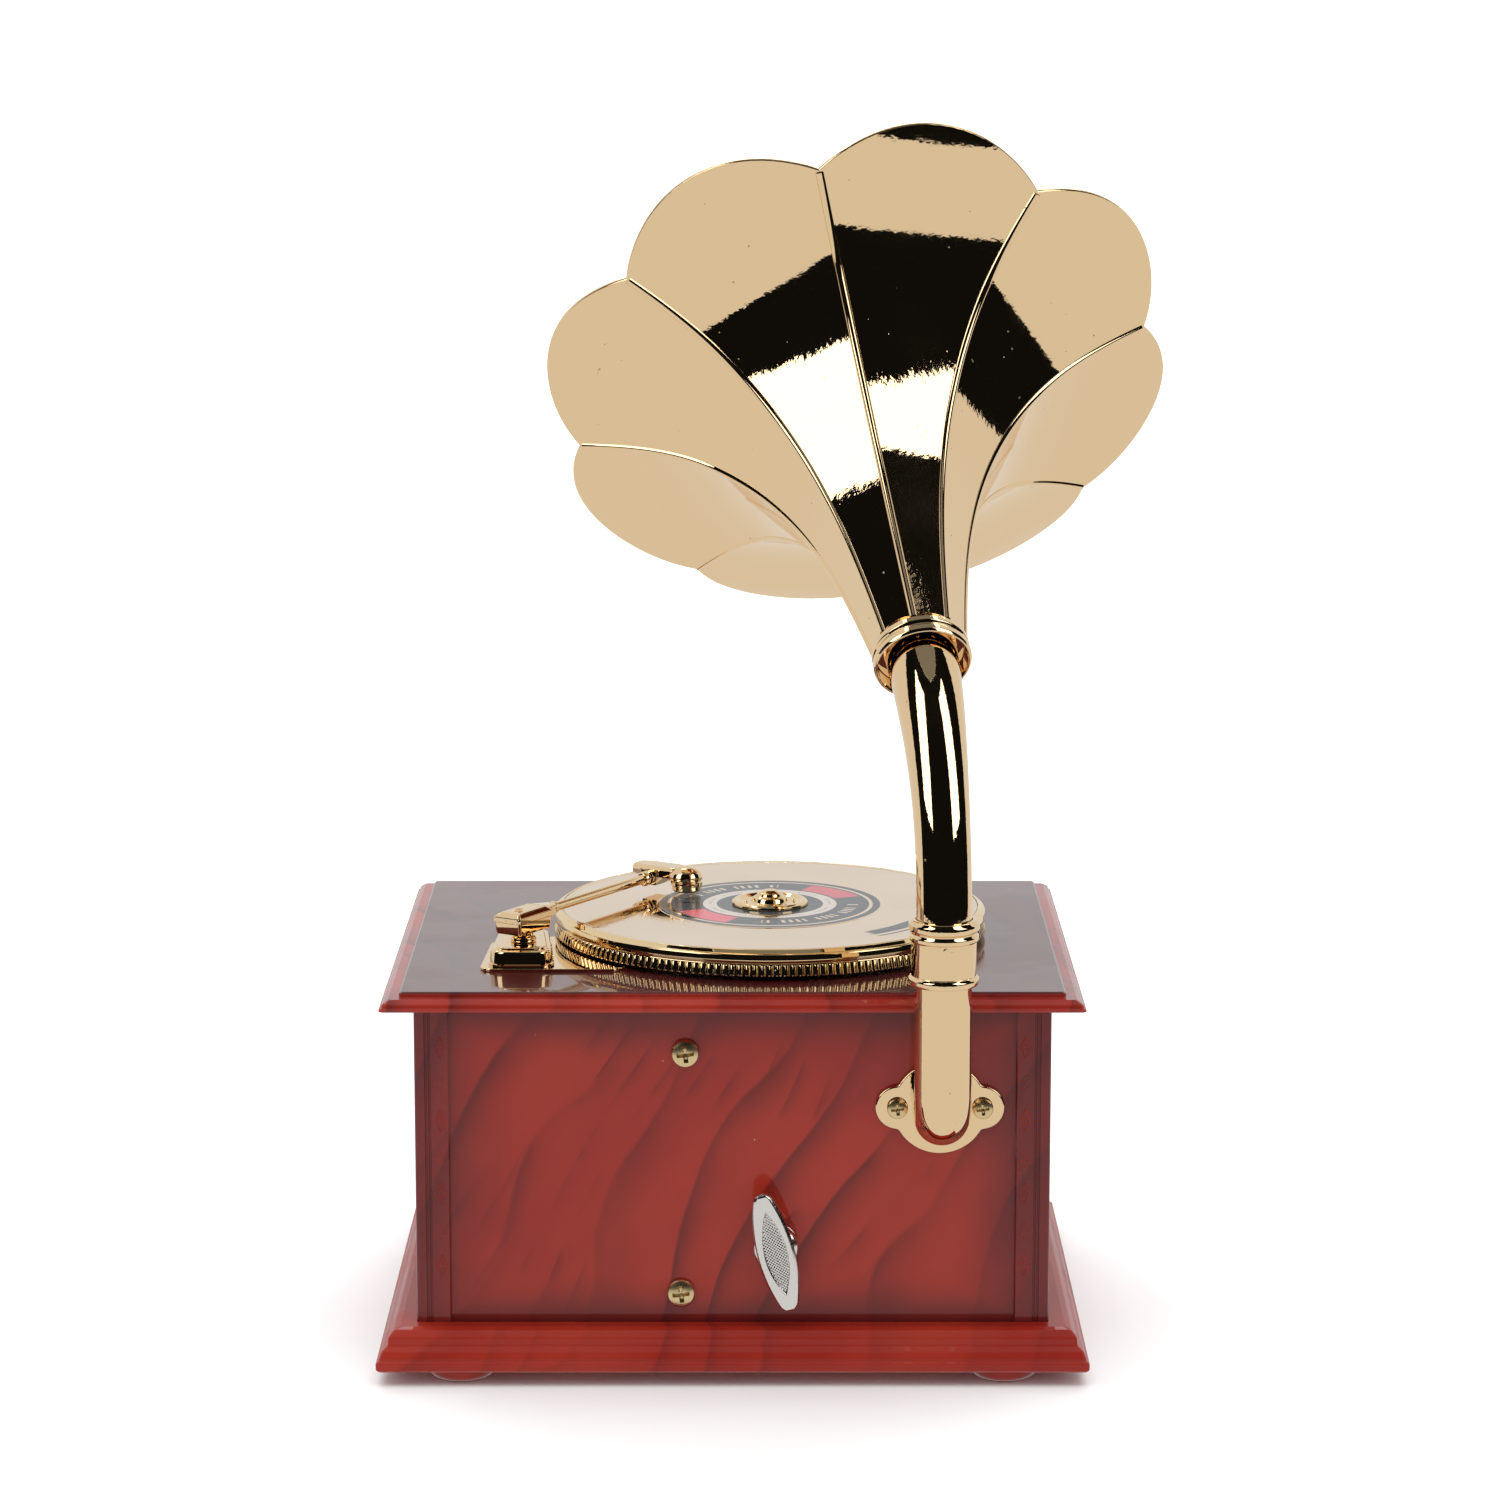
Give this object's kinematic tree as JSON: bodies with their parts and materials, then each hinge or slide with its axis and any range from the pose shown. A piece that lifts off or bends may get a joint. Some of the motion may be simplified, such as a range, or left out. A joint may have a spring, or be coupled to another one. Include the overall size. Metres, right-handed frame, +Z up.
{
  "type": "wind-up phonograph music box",
  "caption": "Wind-up music box shaped like a table gramophone: a moulded case, turning platter, swinging tonearm and petal horn on a bent tube.",
  "frame": {"origin": "under the middle of the whole object's box, on the plane that the feet stand on", "axes": "+Z up; +Y from the winding-key side to the side that the horn faces; +X to the right seen from the key side"},
  "size_m": [0.1551, 0.1304, 0.2372],
  "materials": {
    "case": "high-gloss cherry wood grain on moulded plastic",
    "base": "high-gloss deep red",
    "lid": "high-gloss deep red wood grain",
    "cover": "matt dark red",
    "feet": "moulded dark red",
    "steel_screws": "zinc-plated steel",
    "zinc": "cast zinc alloy",
    "steel": "turned steel",
    "brass": "turned brass",
    "spring_steel": "ground spring steel",
    "white_plastic": "moulded acetal",
    "gold_screws": "brass-plated steel",
    "gold_rim": "vacuum-metallised gold, knurled",
    "record": "vacuum-metallised gold with printed rings",
    "gold": "vacuum-metallised gold",
    "horn": "vacuum-metallised gold",
    "key": "bright nickel plate"
  },
  "bodies": {
    "case": {"case_body": "case", "base_plinth": "base", "lid": "lid", "bottom_cover": "cover", "feet": "feet", "cover_screws": "steel_screws", "case_screws": "steel_screws", "movement_bedplate": "zinc", "movement_screws": "gold_screws", "ratchet_click": "steel", "cylinder_bearings": "zinc", "comb": "spring_steel", "comb_base": "zinc", "comb_screws": "steel_screws", "governor_frame": "steel", "idler_post": "steel", "shaft_bushing": "white_plastic", "deck_plate": "gold", "arm_turret": "gold", "bracket_plate": "gold", "bracket_screws": "gold_screws", "horn_post": "gold", "post_collar": "gold"},
    "winding_key": {"winding_arbor": "steel", "ratchet_wheel": "steel", "key_hub": "key", "key_blade": "key"},
    "barrel": {"spring_barrel": "brass", "barrel_crown_gear": "brass", "mainspring": "spring_steel"},
    "cylinder": {"cylinder_arbor": "steel", "cylinder_pinion": "brass", "pin_cylinder": "brass", "cylinder_gear": "white_plastic"},
    "governor": {"governor_wheel": "white_plastic"},
    "fly": {"governor_fly": "white_plastic"},
    "idler": {"idler_gear": "white_plastic"},
    "turntable": {"turntable_gear": "white_plastic", "turntable_shaft": "steel", "platter": "gold_rim", "record_disc": "record", "spindle_cap": "gold"},
    "tonearm": {"arm_pivot": "gold", "stop_lever": "steel", "arm_block": "gold", "arm_tube": "gold", "headshell": "gold", "cartridge": "gold"},
    "horn": {"neck_tube": "gold", "horn_bell": "horn", "horn_ring": "gold"}
  },
  "joints": [
    {"name": "table_turn", "type": "hinge", "parent": "case", "child": "turntable", "pos_m": [-0.00235, 0.00225, 0.08], "axis": [0, 0, 1], "continuous": true},
    {"name": "key_turn", "type": "hinge", "parent": "case", "child": "winding_key", "pos_m": [-0.0014, -0.04825, 0.0262], "axis": [0, 1, 0], "continuous": true},
    {"name": "barrel_turn", "type": "hinge", "parent": "case", "child": "barrel", "pos_m": [-0.0014, -0.03425, 0.0262], "axis": [0, 1, 0], "continuous": true},
    {"name": "cylinder_turn", "type": "hinge", "parent": "case", "child": "cylinder", "pos_m": [-0.0014, -0.0245, 0.054], "axis": [0, 0, 1], "continuous": true},
    {"name": "idler_turn", "type": "hinge", "parent": "case", "child": "idler", "pos_m": [-0.00709, -0.01303, 0.0676], "axis": [0, 0, 1], "continuous": true},
    {"name": "governor_turn", "type": "hinge", "parent": "case", "child": "governor", "pos_m": [0.0098, -0.0245, 0.062], "axis": [0, 0, 1], "continuous": true},
    {"name": "fly_turn", "type": "hinge", "parent": "case", "child": "fly", "pos_m": [0.01539, -0.0325, 0.062], "axis": [0, 1, 0], "continuous": true},
    {"name": "arm_swing", "type": "hinge", "parent": "case", "child": "tonearm", "pos_m": [-0.0502, -0.02345, 0.082], "axis": [0, 0, 1], "range_deg": [-5, 38]},
    {"name": "horn_swivel", "type": "hinge", "parent": "case", "child": "horn", "pos_m": [0.0298, -0.05855, 0.088], "axis": [0, 0, 1], "range_deg": [-60, 60]}
  ],
  "couplings": [
    {"joint": "cylinder_turn", "follows": "table_turn", "ratio": 1.4},
    {"joint": "idler_turn", "follows": "table_turn", "ratio": -2.3333},
    {"joint": "barrel_turn", "follows": "table_turn", "ratio": 0.4},
    {"joint": "governor_turn", "follows": "table_turn", "ratio": -3.5},
    {"joint": "fly_turn", "follows": "table_turn", "ratio": 70}
  ]
}
